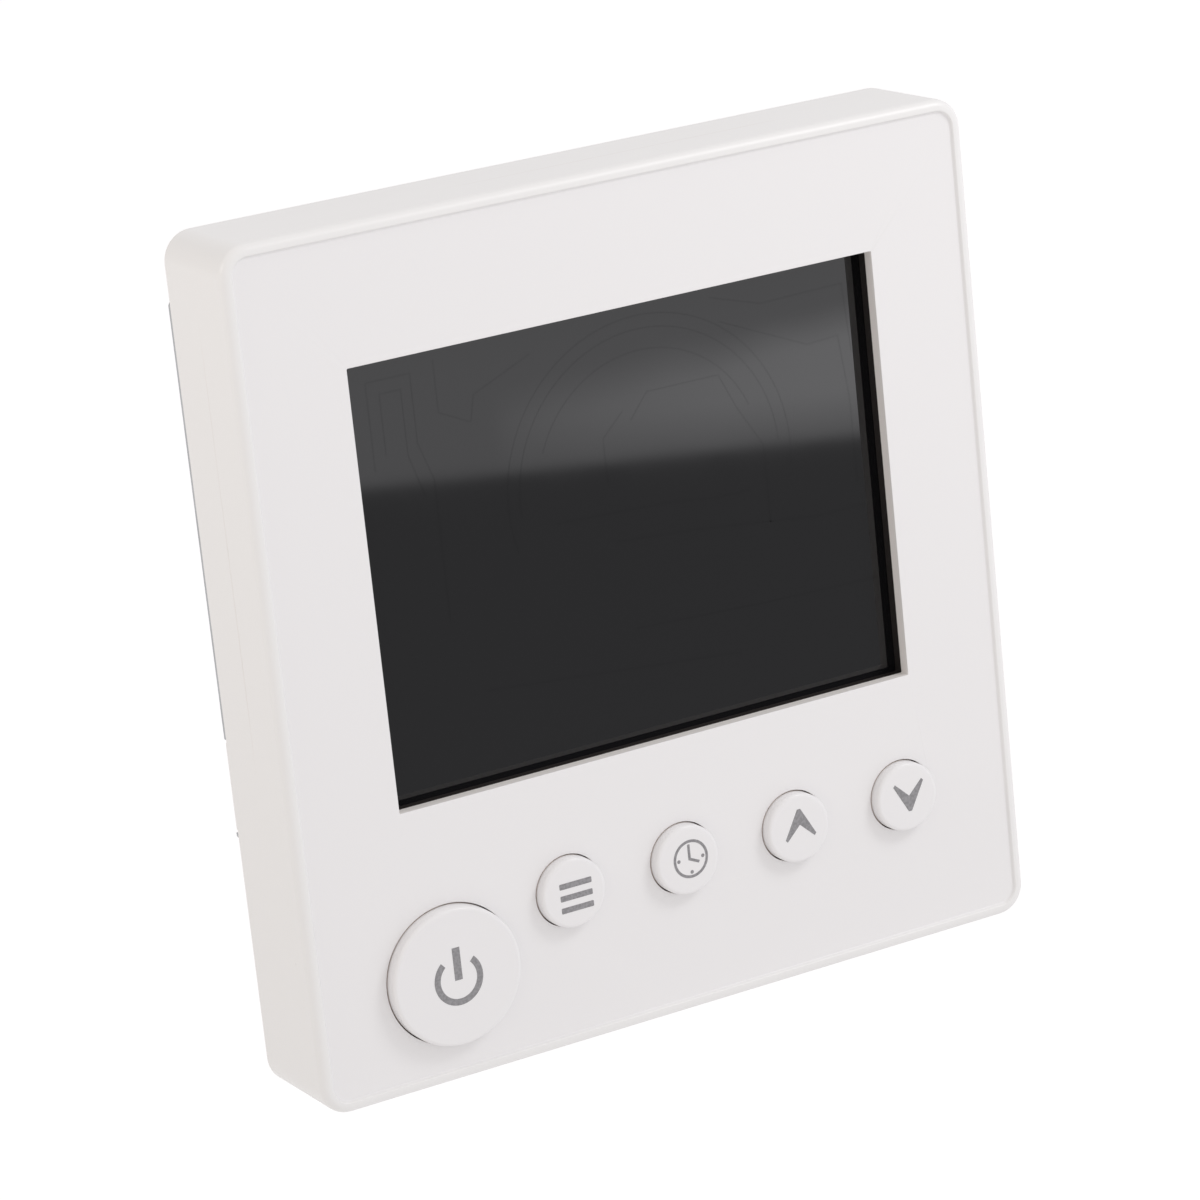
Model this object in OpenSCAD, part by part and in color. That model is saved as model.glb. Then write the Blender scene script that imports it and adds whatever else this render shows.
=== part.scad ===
// Wall thermostat for a 60 mm wall box, in millimetres.
// A front unit with a display and five keys clips over a steel mounting plate,
// and a power box behind the plate sits inside the wall box.
// X points right, Z up and Y into the wall. The origin is the centre of the
// fixing slots, in the wall plane.

/* [Front unit] */
// Width of the front unit
face_w = 86; // [85:0.5:88]
// Height of the front unit
face_h = 90; // [89:0.5:92]
// Depth of the front unit, from the rim to the rear edge
unit_d = 13; // [13:0.1:13.6]
// Radius of the upright corners
corner_r = 3.1; // [2.6:0.1:4]
// Radius of the rounded front edge
edge_r = 0.9; // [0.5:0.1:1.2]
// Width of the raised rim
rim_w = 1.25; // [1.2:0.05:1.8]
// Depth of the face panel behind the rim
panel_drop = 0.3; // [0.2:0.05:0.4]
// Thickness of the face panel
panel_t = 1.35; // [1.2:0.05:1.4]
// Thickness of the housing walls
wall_t = 1.6; // [1.2:0.1:1.8]

/* [Display] */
// Width of the display window
window_w = 61.4; // [56:0.2:62]
// Height of the display window
window_h = 46.1; // [42:0.1:46.6]
// Height of the window centre above the fixing slots
window_z = 7.65; // [7:0.05:8]
// Depth of the dark gasket between the panel and the display
gasket_t = 1.35; // [1.2:0.05:1.6]

/* [Keys] */
// Travel of every key
key_travel = 0.5; // [0.3:0.1:0.6]
// Radius of the small key caps
key_r = 3.75; // [3.5:0.05:3.9]
// Height of the small caps above the panel
key_rise = 1.25; // [0.9:0.05:1.6]
// Distance between the small keys
key_pitch = 13.7; // [13:0.1:14]
// Left and right place of the menu key, the first in the row
key_first_x = -12.6; // [-12.8:0.1:-12.2]
// Height of the row of small keys
key_row_z = -28.3; // [-29:0.1:-28.2]
// Radius of the power key cap
power_r = 7.35; // [6.8:0.05:7.5]
// Height of the power cap above the panel
power_rise = 1.5; // [1.1:0.05:1.8]
// Left and right place of the power key
power_x = -27; // [-28:0.1:-26.8]
// Height of the power key
power_z = -33.5; // [-34:0.1:-33]
// Rounding of the cap edges
cap_edge = 0.5; // [0.3:0.05:0.6]
// Gap around each cap
cap_gap = 0.2; // [0.15:0.05:0.3]

/* [Mounting] */
// Distance between the two fixing slots
fixing_pitch = 60; // [60:0.3:60.3]
// Width of a fixing slot, for an M4 screw
slot_w = 4.2; // [4:0.1:4.5]
// Length of a fixing slot
slot_len = 7; // [6:0.5:8]
// Thickness of the steel mounting plate
plate_t = 1; // [0.8:0.1:1]

/* [Power box] */
// Width of the power box
box_w = 50; // [50:0.5:51]
// Height of the power box
box_h = 58; // [58:0.5:60]
// Depth of the power box behind the wall plane
box_d = 27; // [26:0.5:30]
// Wall thickness of the power box
box_wall = 1.6; // [1.4:0.1:1.7]
// Number of wire terminals
pole_count = 6; // [2:1:6]

/* [Hidden] */
$fn = 48;
hull_fn = 32;
cut = 0.5;          // how far a cutting tool runs past the face it opens
weld = 0.2;         // how far a joined shape sinks into the one it grows from
seat = 0.1;         // gap between the housing and the mounting plate
play = 0.4;         // width added to a pocket so that its part drops in

// Layers of the front unit, front to back
rim_y = -(plate_t + seat + unit_d);
panel_y = rim_y + panel_drop;
shelf_y = panel_y + panel_t;
shelf_t = 1.2;
shelf_back_y = shelf_y + shelf_t;
housing_back_y = -(plate_t + seat);
film_t = 0.2;
glass_t = 1.1;
film_y = shelf_y + gasket_t;
glass_y = film_y + film_t;
rear_glass_y = glass_y + glass_t;
guide_y = rear_glass_y + glass_t;
guide_t = 3.5;
board_t = 1.6;
board_y = -4.6;
board_back_y = board_y + board_t;

// Outlines of the front unit: width, height and centre height
pocket_w = face_w - 2 * rim_w;
pocket_h = face_h - 2 * rim_w;
groove = 0.05;      // gap around the face panel, inside the rim
window_r = 0.2;     // corners of the display window
gasket_w = 66;
gasket_h = 50.6;
gasket_play = 0.6;
gasket_step = 0.2;
glass_w = 67;
glass_h = 55;
glass_bottom = -18.2;
rear_glass_h = 51.4;
guide_w = 64;
guide_h = 49.5;
guide_slot_w = 65.8;
guide_slot_x = -0.7;
holder_w = 70.8;
holder_bottom = -20.2;
holder_h = 59.2;
zebra_z = 35.2;
zebra_w = 58;
zebra_t = 2;
lug_x = 37;
lug_w = 3.4;
lug_h = 3.6;
lug_rows = [-12, 28];
peg_r = 1;
peg_gap = 0.1;
inner_w = face_w - 2 * wall_t;
inner_h = face_h - 2 * wall_t;
board_gap = 0.6;
board_w = inner_w - 2 * board_gap;
board_h = inner_h - 2 * board_gap;
boss_x = 38.4;
boss_z = 40.4;
boss_r = 2.4;
pilot_r = 0.9;
board_hole_r = 1.1;

// Vent slots in the bottom wall, over the air sensor
vent_count = 7;
vent_pitch = 4;
vent_w = 1.8;
vent_x = 12;
vent_y = -10.4;
vent_depth = 6;
sensor_z = -40.4;
sensor_y = -8;
sensor_r = 1.3;
sensor_lead_r = 0.25;
sensor_lead_x = 0.7;

// Keys: left-right place, height, cap radius, rise above the panel
function row_key(i) = [key_first_x + i * key_pitch, key_row_z, key_r, key_rise];
POWER = [power_x, power_z, power_r, power_rise];
MENU = row_key(0);
CLOCK = row_key(1);
UP = row_key(2);
DOWN = row_key(3);
KEYS = [POWER, MENU, CLOCK, UP, DOWN];
shelf_hole_gap = cap_gap + 0.1;
flange_out = 1.1;
flange_t = 0.8;
flange_y = shelf_back_y + 0.05;
cap_wall = 1.1;
cap_front = 1.3;
stem_r = 1.6;
switch_w = 6;
switch_h = 3.3;
switch_top_y = board_y - switch_h;
cover_t = 0.3;
cover_leg_w = 0.7;
cover_leg_z = 2.2;
plunger_r = 1.7;
plunger_tip_y = switch_top_y - 1.6;
plunger_in = 0.9;
plunger_fit = 0.08;

// Clips between the front unit and the plate
clip_x = 22;
clip_w = 6;
clip_z = 42;
clip_t = 1;
clip_y = -6;
clip_end_y = 0.8;
clip_root_y = -7;
clip_root_end_y = -2.4;
clip_gap = 0.3;
tab_low = -17.3;
tab_high = -7.9;
tab_w = 1.5;
tab_inset = 0.35;
tab_y = -2.4;
tab_end_y = -0.1;

// Mounting plate
plate_w = 78;
plate_h = face_h - 2.8;
ear_w = face_w - 0.7;
ear_low = -18.4;
ear_high = 38;
notch_w = 4.5;
notch_gap = 0.3;
port_w = 40;
port_h = 24;

// Power box and its board
flap_w = 44;
flap_t = 1.8;
flap_out = 6;
box_screw_x = 17;
box_screw_z = box_h / 2 + 3;
box_screw_r = 1.3;
recess_w = 36;
recess_h = 26;
recess_depth = 0.4;
step_z = -14.5;
step_y = 15.6;
post_w = 3;
post_rows = [step_z + box_wall + post_w / 2, box_h / 2 - box_wall - post_w / 2];
power_board_y = 3;
power_back_y = power_board_y + board_t;
power_board_w = box_w - 2 * (box_wall + play);
power_board_h = box_h - 2 * (box_wall + play);
pole_pitch = 7.5;
block_w = pole_count * pole_pitch;
block_low = -28.8;
block_high = -16;
block_end_y = 15.2;
port_side = 3.8;
port_y = 7.6;
port_depth = 9;
block_gap = 0.2;
pole_z = -23.6;
pole_screw_r = 2.1;

// Transformer on the power board
core_x = -12;
core_z = -2;
core_w = 20;
core_t = 8;
core_y = power_back_y + 1.8;
core_d = 16.4;
core_bar = 3;
leg_t = 5.8;
window_t = 4.6;
bobbin_gap = 0.2;
bobbin_wall = 0.8;
bobbin_w = 14.4;
bobbin_h = 16;
foot_h = 3;

// Plug connection between the two boards
pin_cols = 5;
pin_rows = 2;
pin_pitch = 2.54;
pin_w = 0.64;
pin_tip_y = -2.4;
strip_t = 1.6;
socket_edge = 0.4;
socket_hole_w = 0.9;
socket_end_y = 1.2;

// Flat shape drawn in X and Z, and pushed along Y from y0 to y1
module along_y(y0, y1) {
    translate([0, y1, 0])
        rotate([90, 0, 0])
            linear_extrude(y1 - y0)
                children();
}

// Rectangle with true round corners, centred
module round_rect(w, h, r) {
    square([w - 2 * r, h], center = true);
    square([w, h - 2 * r], center = true);
    for (sx = [-1, 1], sz = [-1, 1])
        translate([sx * (w / 2 - r), sz * (h / 2 - r)])
            circle(r);
}

// Slot with round ends, lying along X
module slot(len, w) {
    square([len - w, w], center = true);
    for (s = [-1, 1])
        translate([s * (len - w) / 2, 0])
            circle(w / 2);
}

// Slab with round upright corners, between two depths
module slab(w, h, r, y0, y1, x = 0, z = 0) {
    along_y(y0, y1)
        translate([x, z])
            round_rect(w, h, r);
}

// Block from its width, height and two depths
module block(w, h, y0, y1, x = 0, z = 0) {
    translate([x - w / 2, y0, z - h / 2])
        cube([w, y1 - y0, h]);
}

// Round bar along Y
module bar_y(r, y0, y1, x = 0, z = 0) {
    translate([x, y1, z])
        rotate([90, 0, 0])
            cylinder(r = r, h = y1 - y0);
}

// Repeats at the four corners of a rectangle
module at_corners(x, z) {
    for (sx = [-1, 1], sz = [-1, 1])
        translate([sx * x, 0, sz * z])
            children();
}

// One corner of the outer shell, with the rounded front edge
module shell_corner() {
    rotate([90, 0, 0])
        rotate_extrude($fn = hull_fn) {
            square([corner_r, unit_d - edge_r]);
            square([corner_r - edge_r, unit_d]);
            translate([corner_r - edge_r, unit_d - edge_r])
                circle(edge_r);
        }
}

// Solid outer form of the front unit
module shell_form() {
    hull()
        translate([0, housing_back_y, 0])
            at_corners(face_w / 2 - corner_r, face_h / 2 - corner_r)
                shell_corner();
}

module vent_slots() {
    for (i = [0 : vent_count - 1])
        translate([vent_x + (i - (vent_count - 1) / 2) * vent_pitch - vent_w / 2,
                   vent_y, -face_h / 2 - cut])
            cube([vent_w, vent_depth, wall_t + 2 * cut]);
}

// Clips that pass through the plate, two above and two below
module plate_clips() {
    root_top = inner_h / 2 + weld;
    for (sz = [-1, 1], sx = [-1, 1]) {
        block(clip_w, clip_t, clip_y, clip_end_y, sx * clip_x, sz * clip_z);
        block(clip_w, root_top - clip_z, clip_root_y, clip_root_end_y,
              sx * clip_x, sz * (root_top + clip_z) / 2);
    }
}

// Tabs on both sides that drop into the notches of the plate
module side_tabs() {
    tab_x = face_w / 2 - tab_inset;
    for (s = [-1, 1])
        block(tab_w, tab_high - tab_low, tab_y, tab_end_y,
              s * (tab_x - tab_w / 2), (tab_low + tab_high) / 2);
}

module front_housing() {
    color("whitesmoke") {
        difference() {
            shell_form();
            slab(pocket_w, pocket_h, corner_r - rim_w, rim_y - cut, shelf_y);
            slab(inner_w, inner_h, corner_r - wall_t, shelf_back_y, cut);
            slab(gasket_w + gasket_play, gasket_h + gasket_play, 1, shelf_y - cut,
                 shelf_back_y + cut, 0, window_z);
            for (k = KEYS)
                bar_y(k[2] + shelf_hole_gap, shelf_y - cut, shelf_back_y + cut,
                      k[0], k[1]);
            vent_slots();
        }
        at_corners(boss_x, boss_z)
            difference() {
                bar_y(boss_r, shelf_back_y - weld, board_y);
                bar_y(pilot_r, shelf_back_y + 1, board_y + cut);
            }
        plate_clips();
        side_tabs();
    }
}

module face_panel() {
    color("white")
        difference() {
            slab(pocket_w - 2 * groove, pocket_h - 2 * groove,
                 corner_r - rim_w - groove, panel_y, shelf_y);
            slab(window_w, window_h, window_r, panel_y - cut, shelf_y + cut, 0, window_z);
            for (k = KEYS)
                bar_y(k[2] + cap_gap, panel_y - cut, shelf_y + cut, k[0], k[1]);
        }
}

module window_gasket() {
    color("black")
        difference() {
            slab(gasket_w, gasket_h, 0.8, shelf_y, film_y, 0, window_z);
            slab(window_w + gasket_step, window_h + gasket_step, window_r, shelf_y - cut, film_y + cut,
                 0, window_z);
        }
}

module front_polariser() {
    color([0.13, 0.13, 0.14])
        block(gasket_w, gasket_h, film_y, glass_y, 0, window_z);
}

module front_glass() {
    color([0.25, 0.27, 0.28])
        block(glass_w, glass_h, glass_y, rear_glass_y, 0, glass_bottom + glass_h / 2);
}

module rear_glass() {
    color([0.25, 0.27, 0.28])
        block(glass_w, rear_glass_h, rear_glass_y, guide_y,
              0, glass_bottom + rear_glass_h / 2);
}

module light_guide() {
    color([0.85, 0.9, 0.95])
        block(guide_w, guide_h, guide_y, guide_y + guide_t, 0, window_z);
}

module reflector_sheet() {
    color("white")
        block(guide_w, guide_h, guide_y + guide_t, guide_y + guide_t + film_t,
              0, window_z);
}

module backlight_leds() {
    led_count = 5;
    led_pitch = 8;
    color("gold") {
        block(0.6, 42, guide_y + 0.1, guide_y + guide_t - 0.1, -33.1, window_z);
        for (i = [0 : led_count - 1])
            block(0.8, 3, guide_y + 0.4, guide_y + guide_t - 0.4, -32.45,
                  window_z + (i - (led_count - 1) / 2) * led_pitch);
    }
}

module zebra_strip() {
    color("hotpink")
        block(zebra_w, zebra_t, rear_glass_y, board_y, 0, zebra_z);
}

module lcd_holder() {
    color("ivory") {
        difference() {
            slab(holder_w, holder_h, 1, glass_y, board_y, 0, holder_bottom + holder_h / 2);
            block(glass_w + play, glass_h + play, glass_y - cut, guide_y,
                  0, glass_bottom + glass_h / 2);
            block(guide_slot_w, guide_h + play, guide_y - cut, board_y + cut,
                  guide_slot_x, window_z);
            block(zebra_w + play, zebra_t + play, guide_y - cut, board_y + cut,
                  0, zebra_z);
        }
        for (s = [-1, 1], z = lug_rows) {
            block(lug_w, lug_h, board_y - 2, board_y, s * lug_x, z);
            bar_y(peg_r, board_y - weld, board_back_y + 0.6, s * lug_x, z);
        }
    }
}

module main_board() {
    color("seagreen")
        difference() {
            slab(board_w, board_h, 1, board_y, board_back_y);
            at_corners(boss_x, boss_z)
                bar_y(board_hole_r, board_y - cut, board_back_y + cut);
            for (s = [-1, 1], z = lug_rows)
                bar_y(peg_r + peg_gap, board_y - cut, board_back_y + cut, s * lug_x, z);
            for (s = [-1, 1], sz = [-1, 1])
                block(clip_w + 1, 4, board_y - cut, board_back_y + cut,
                      s * clip_x, sz * (clip_z + 1));
        }
}

// Flat chip with a row of leads on each side
module flat_chip(w, x, z) {
    lead_pitch = 0.8;
    leads = floor((w - 1.2) / lead_pitch);
    block(w, w, board_back_y + 0.1, board_back_y + 1.4, x, z);
    for (a = [0 : 90 : 270], i = [0 : leads - 1])
        translate([x, 0, z])
            rotate([0, a, 0])
                block(0.35, 1.1, board_back_y, board_back_y + 0.3,
                      (i - (leads - 1) / 2) * lead_pitch, w / 2 + 0.35);
}

module control_chip() {
    color([0.12, 0.12, 0.13])
        flat_chip(12, -22, 14);
}

module driver_chip() {
    color([0.12, 0.12, 0.13])
        flat_chip(8, 22, 16);
}

module air_sensor() {
    color("saddlebrown") {
        translate([vent_x, sensor_y, sensor_z])
            sphere(sensor_r);
        for (s = [-1, 1])
            bar_y(sensor_lead_r, sensor_y, board_y, vent_x + s * sensor_lead_x, sensor_z);
    }
}

module at_pins() {
    for (i = [0 : pin_cols - 1], j = [0 : pin_rows - 1])
        translate([(i - (pin_cols - 1) / 2) * pin_pitch, 0,
                   (j - (pin_rows - 1) / 2) * pin_pitch])
            children();
}

module board_socket() {
    color([0.1, 0.1, 0.1])
        difference() {
            block(pin_cols * pin_pitch + socket_edge, pin_rows * pin_pitch + socket_edge,
                  board_back_y, socket_end_y);
            at_pins()
                block(socket_hole_w, socket_hole_w, pin_tip_y - 0.3, socket_end_y + cut);
        }
}

// Cross-head screw: the head's underside is at y0 and the shank ends at tip_y
module pan_screw(head_r, head_t, shank_r, y0, tip_y, x, z) {
    dir = tip_y < y0 ? -1 : 1;
    head_y = y0 - dir * head_t;
    difference() {
        bar_y(head_r, min(y0, head_y), max(y0, head_y), x, z);
        block(head_r * 1.3, 0.4, head_y - 0.6, head_y + 0.6, x, z);
        block(0.4, head_r * 1.3, head_y - 0.6, head_y + 0.6, x, z);
    }
    bar_y(shank_r, min(y0, tip_y), max(y0, tip_y), x, z);
}

module board_screws() {
    color("silver")
        for (sx = [-1, 1], sz = [-1, 1])
            pan_screw(1.9, 1, pilot_r - 0.05, board_back_y, board_y - 4.4,
                      sx * boss_x, sz * boss_z);
}

// Hollow key cap with a retaining flange and a centre stem
module key_cap(key) {
    r = key[2];
    front_y = panel_y - key[3];
    back_y = flange_y + flange_t;
    h = back_y - front_y;
    translate([key[0], back_y, key[1]])
        rotate([90, 0, 0])
            rotate_extrude() {
                difference() {
                    union() {
                        square([r, h - cap_edge]);
                        square([r - cap_edge, h]);
                        translate([r - cap_edge, h - cap_edge])
                            intersection() {
                                circle(cap_edge);
                                square(cap_edge);
                            }
                        square([r + flange_out, flange_t]);
                    }
                    translate([0, -cut])
                        square([r - cap_wall, h - cap_front + cut]);
                }
                translate([0, back_y - plunger_tip_y])
                    square([stem_r, h - cap_front + weld - (back_y - plunger_tip_y)]);
            }
}

module key_plunger(key) {
    bar_y(plunger_r, plunger_tip_y, switch_top_y + plunger_in, key[0], key[1]);
}

module key_switch(key) {
    difference() {
        block(switch_w, switch_w, switch_top_y, board_y, key[0], key[1]);
        bar_y(plunger_r + plunger_fit, switch_top_y - cut,
              switch_top_y + plunger_in + key_travel + 0.2, key[0], key[1]);
    }
}

module power_button() { color("white") key_cap(POWER); }
module menu_button() { color("white") key_cap(MENU); }
module clock_button() { color("white") key_cap(CLOCK); }
module up_button() { color("white") key_cap(UP); }
module down_button() { color("white") key_cap(DOWN); }

module power_plunger() { color("dimgray") key_plunger(POWER); }
module menu_plunger() { color("dimgray") key_plunger(MENU); }
module clock_plunger() { color("dimgray") key_plunger(CLOCK); }
module up_plunger() { color("dimgray") key_plunger(UP); }
module down_plunger() { color("dimgray") key_plunger(DOWN); }

module power_switch() { color("black") key_switch(POWER); }
module menu_switch() { color("black") key_switch(MENU); }
module clock_switch() { color("black") key_switch(CLOCK); }
module up_switch() { color("black") key_switch(UP); }
module down_switch() { color("black") key_switch(DOWN); }

// Steel cover of each switch, with four legs down to the board
module switch_covers() {
    color("silver")
        for (k = KEYS) {
            difference() {
                block(switch_w + 2 * cover_t, switch_w, switch_top_y - cover_t,
                      switch_top_y, k[0], k[1]);
                bar_y(plunger_r + 0.3, switch_top_y - 1, switch_top_y + 1, k[0], k[1]);
            }
            for (sx = [-1, 1], sz = [-1, 1])
                block(cover_t, cover_leg_w, switch_top_y - cover_t, board_y,
                      k[0] + sx * (switch_w + cover_t) / 2, k[1] + sz * cover_leg_z);
        }
}

module mounting_plate() {
    color("silver")
        difference() {
            union() {
                slab(plate_w, plate_h, 3, -plate_t, 0);
                slab(ear_w, ear_high - ear_low, 0.6, -plate_t, 0,
                     0, (ear_low + ear_high) / 2);
            }
            slab(port_w, port_h, 2, -plate_t - cut, cut);
            for (s = [-1, 1]) {
                block(notch_w, tab_high - tab_low + 2 * notch_gap, -plate_t - cut, cut,
                      s * (ear_w / 2), (tab_low + tab_high) / 2);
                along_y(-plate_t - cut, cut)
                    translate([s * fixing_pitch / 2, 0])
                        slot(slot_len, slot_w);
            }
            for (sx = [-1, 1], sz = [-1, 1]) {
                block(clip_w + 2 * clip_gap, clip_t + 2 * clip_gap, -plate_t - cut,
                      cut, sx * clip_x, sz * clip_z);
                bar_y(box_screw_r + 0.2, -plate_t - cut, cut,
                      sx * box_screw_x, sz * box_screw_z);
            }
        }
}

module power_box() {
    color([0.92, 0.92, 0.9])
        difference() {
            union() {
                slab(box_w, box_h, 2, 0, step_y);
                slab(box_w, box_h / 2 - step_z, 2, 0, box_d,
                     0, (box_h / 2 + step_z) / 2);
                slab(flap_w, box_h + 2 * flap_out, 2, 0, flap_t);
            }
            difference() {
                union() {
                    block(box_w - 2 * box_wall, box_h - 2 * box_wall, -cut,
                          step_y - box_wall);
                    block(box_w - 2 * box_wall,
                          box_h / 2 - step_z - 2 * box_wall, -cut,
                          box_d - box_wall, 0, (box_h / 2 + step_z) / 2);
                }
                for (sx = [-1, 1], z = post_rows)
                    block(post_w, post_w, power_back_y, box_d,
                          sx * (box_w / 2 - box_wall - post_w / 2), z);
            }
            block(block_w + 2 * block_gap, block_high + box_h / 2 + block_gap + cut,
                  power_back_y - block_gap, step_y + cut,
                  0, (block_high + block_gap - box_h / 2 - cut) / 2);
            slab(recess_w, recess_h, 1, box_d - recess_depth, box_d + cut,
                 0, (box_h / 2 + step_z) / 2);
            for (sx = [-1, 1], sz = [-1, 1])
                bar_y(box_screw_r, -cut, flap_t + cut, sx * box_screw_x, sz * box_screw_z);
        }
}

module box_screws() {
    color("silver")
        for (sx = [-1, 1], sz = [-1, 1])
            pan_screw(2.4, 1, box_screw_r - 0.1, -plate_t, 3.6,
                      sx * box_screw_x, sz * box_screw_z);
}

module power_board() {
    color("seagreen")
        block(power_board_w, power_board_h, power_board_y, power_back_y);
}

module header_strip() {
    color([0.1, 0.1, 0.1])
        difference() {
            block(pin_cols * pin_pitch, pin_rows * pin_pitch,
                  power_board_y - strip_t, power_board_y);
            at_pins()
                block(pin_w + 0.04, pin_w + 0.04, power_board_y - strip_t - cut,
                      power_board_y + cut);
        }
}

module header_pins() {
    color("gold")
        at_pins()
            block(pin_w, pin_w, pin_tip_y, power_board_y);
}

// Ferrite core with a centre leg along Y and a window on each side of it
module transformer_core() {
    color([0.25, 0.25, 0.27])
        difference() {
            block(core_w, core_t, core_y, core_y + core_d, core_x, core_z);
            for (s = [-1, 1])
                block(window_t, core_t + 2 * cut, core_y + core_bar,
                      core_y + core_d - core_bar,
                      core_x + s * (leg_t + window_t) / 2, core_z);
        }
}

// Bobbin: a tube on the centre leg, two end flanges and two feet
module transformer_bobbin() {
    low_y = core_y + core_bar + bobbin_gap;
    high_y = core_y + core_d - core_bar - bobbin_gap;
    tube = bobbin_gap + 2 * bobbin_wall;
    color("dimgray") {
        difference() {
            union() {
                block(leg_t + tube, core_t + tube, low_y, high_y, core_x, core_z);
                for (y = [low_y, high_y - bobbin_wall])
                    block(bobbin_w, bobbin_h, y, y + bobbin_wall, core_x, core_z);
            }
            block(leg_t + bobbin_gap, core_t + bobbin_gap, core_y, core_y + core_d,
                  core_x, core_z);
        }
        for (s = [-1, 1])
            block(bobbin_w, foot_h, power_back_y, low_y + weld,
                  core_x, core_z + s * (bobbin_h - foot_h) / 2);
    }
}

module transformer_coil() {
    color("gold")
        difference() {
            slab(bobbin_w - 0.6, bobbin_h - 1, 2, core_y + 4.1, core_y + 12.3,
                 core_x, core_z);
            block(leg_t + 2, core_t + 2, core_y + core_bar, core_y + 13, core_x, core_z);
        }
}

module relay() {
    color([0.12, 0.3, 0.6])
        slab(18, 15.4, 0.6, power_back_y, power_back_y + 15.4, 11, -3);
}

module smoothing_capacitor() {
    color([0.15, 0.15, 0.3])
        bar_y(5, power_back_y, power_back_y + 15, -13, 15.5);
}

module safety_capacitor() {
    color("gold")
        slab(13, 6, 0.4, power_back_y, power_back_y + 11, 1.5, 21);
}

module varistor() {
    color([0.2, 0.35, 0.75]) {
        translate([10.5, power_back_y + 6.4, 12.5])
            cylinder(r = 5, h = 3.6, center = true);
        for (s = [-1, 1])
            bar_y(0.4, power_back_y, power_back_y + 3, 10.5 + s * 2.5, 12.5);
    }
}

module fuse() {
    color([0.2, 0.2, 0.2])
        bar_y(4.2, power_back_y, power_back_y + 8, 15.5, 20.5);
}

// Left-right place of one terminal
function pole_x(i) = (i - (pole_count - 1) / 2) * pole_pitch;

module terminal_block() {
    color("seagreen")
        difference() {
            block(block_w, block_high - block_low, power_back_y, block_end_y,
                  0, (block_high + block_low) / 2);
            for (i = [0 : pole_count - 1]) {
                block(port_side, port_depth + cut, port_y - port_side / 2,
                      port_y + port_side / 2, pole_x(i),
                      block_low + (port_depth - cut) / 2);
                bar_y(pole_screw_r + 0.1, port_y, block_end_y + cut, pole_x(i), pole_z);
            }
        }
}

module terminal_screws() {
    color("silver")
        for (i = [0 : pole_count - 1])
            difference() {
                union() {
                    bar_y(pole_screw_r, block_end_y - 3, block_end_y - 1,
                          pole_x(i), pole_z);
                    bar_y(1.4, port_y + port_side / 2 - 0.8, block_end_y - 2,
                          pole_x(i), pole_z);
                }
                block(2 * pole_screw_r + 1, 0.7, block_end_y - 1.8, block_end_y,
                      pole_x(i), pole_z);
            }
}

// Clamp cage in each wire port
module terminal_cages() {
    side = port_side - 0.2;
    color("khaki")
        for (i = [0 : pole_count - 1])
            difference() {
                block(side, 6, port_y - side / 2, port_y + side / 2, pole_x(i), pole_z);
                block(side - 1, 7, port_y - side / 2 + 0.5, port_y + side / 2 - 0.8,
                      pole_x(i), pole_z);
                bar_y(1.5, port_y, port_y + side, pole_x(i), pole_z);
            }
}

front_housing();
face_panel();
window_gasket();
front_polariser();
front_glass();
rear_glass();
light_guide();
reflector_sheet();
backlight_leds();
zebra_strip();
lcd_holder();
main_board();
control_chip();
driver_chip();
air_sensor();
board_socket();
board_screws();
power_button();
menu_button();
clock_button();
up_button();
down_button();
power_plunger();
menu_plunger();
clock_plunger();
up_plunger();
down_plunger();
power_switch();
menu_switch();
clock_switch();
up_switch();
down_switch();
switch_covers();
mounting_plate();
power_box();
box_screws();
power_board();
header_strip();
header_pins();
transformer_core();
transformer_bobbin();
transformer_coil();
relay();
smoothing_capacitor();
safety_capacitor();
varistor();
fuse();
terminal_block();
terminal_screws();
terminal_cages();
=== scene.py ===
"""Looks of a wall thermostat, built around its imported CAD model.

Lengths are in metres and angles in degrees. X points right, Y into the wall and Z up.
"""
import math
import random

import bmesh
import bpy
from mathutils import Matrix, Vector


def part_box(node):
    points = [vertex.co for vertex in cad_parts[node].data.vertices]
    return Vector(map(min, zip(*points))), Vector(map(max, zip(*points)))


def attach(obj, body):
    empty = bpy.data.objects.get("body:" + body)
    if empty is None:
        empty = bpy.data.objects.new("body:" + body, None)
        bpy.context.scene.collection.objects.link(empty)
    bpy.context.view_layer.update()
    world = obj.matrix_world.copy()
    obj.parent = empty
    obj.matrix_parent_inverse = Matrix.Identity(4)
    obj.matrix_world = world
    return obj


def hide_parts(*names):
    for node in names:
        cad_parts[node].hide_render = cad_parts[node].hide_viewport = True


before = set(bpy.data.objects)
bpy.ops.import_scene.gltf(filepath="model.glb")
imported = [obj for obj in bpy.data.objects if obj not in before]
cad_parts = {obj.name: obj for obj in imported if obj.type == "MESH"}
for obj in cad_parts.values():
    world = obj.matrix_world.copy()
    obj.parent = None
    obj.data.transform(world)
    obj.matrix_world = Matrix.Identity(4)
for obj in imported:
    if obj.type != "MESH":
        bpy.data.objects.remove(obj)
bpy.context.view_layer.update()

MM = 0.001
FRONT = "front_unit"
KEY_NAMES = ("power", "menu", "clock", "up", "down")

# ---------------------------------------------------------------- sizes from the frame
HOUSING_LOW, HOUSING_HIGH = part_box("front_housing")
PANEL_LOW, PANEL_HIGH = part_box("face_panel")
GASKET_LOW, GASKET_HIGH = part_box("window_gasket")
FILM_LOW, FILM_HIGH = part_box("front_polariser")
BOARD_LOW, BOARD_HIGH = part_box("main_board")
PLATE_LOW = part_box("mounting_plate")[0]

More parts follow.
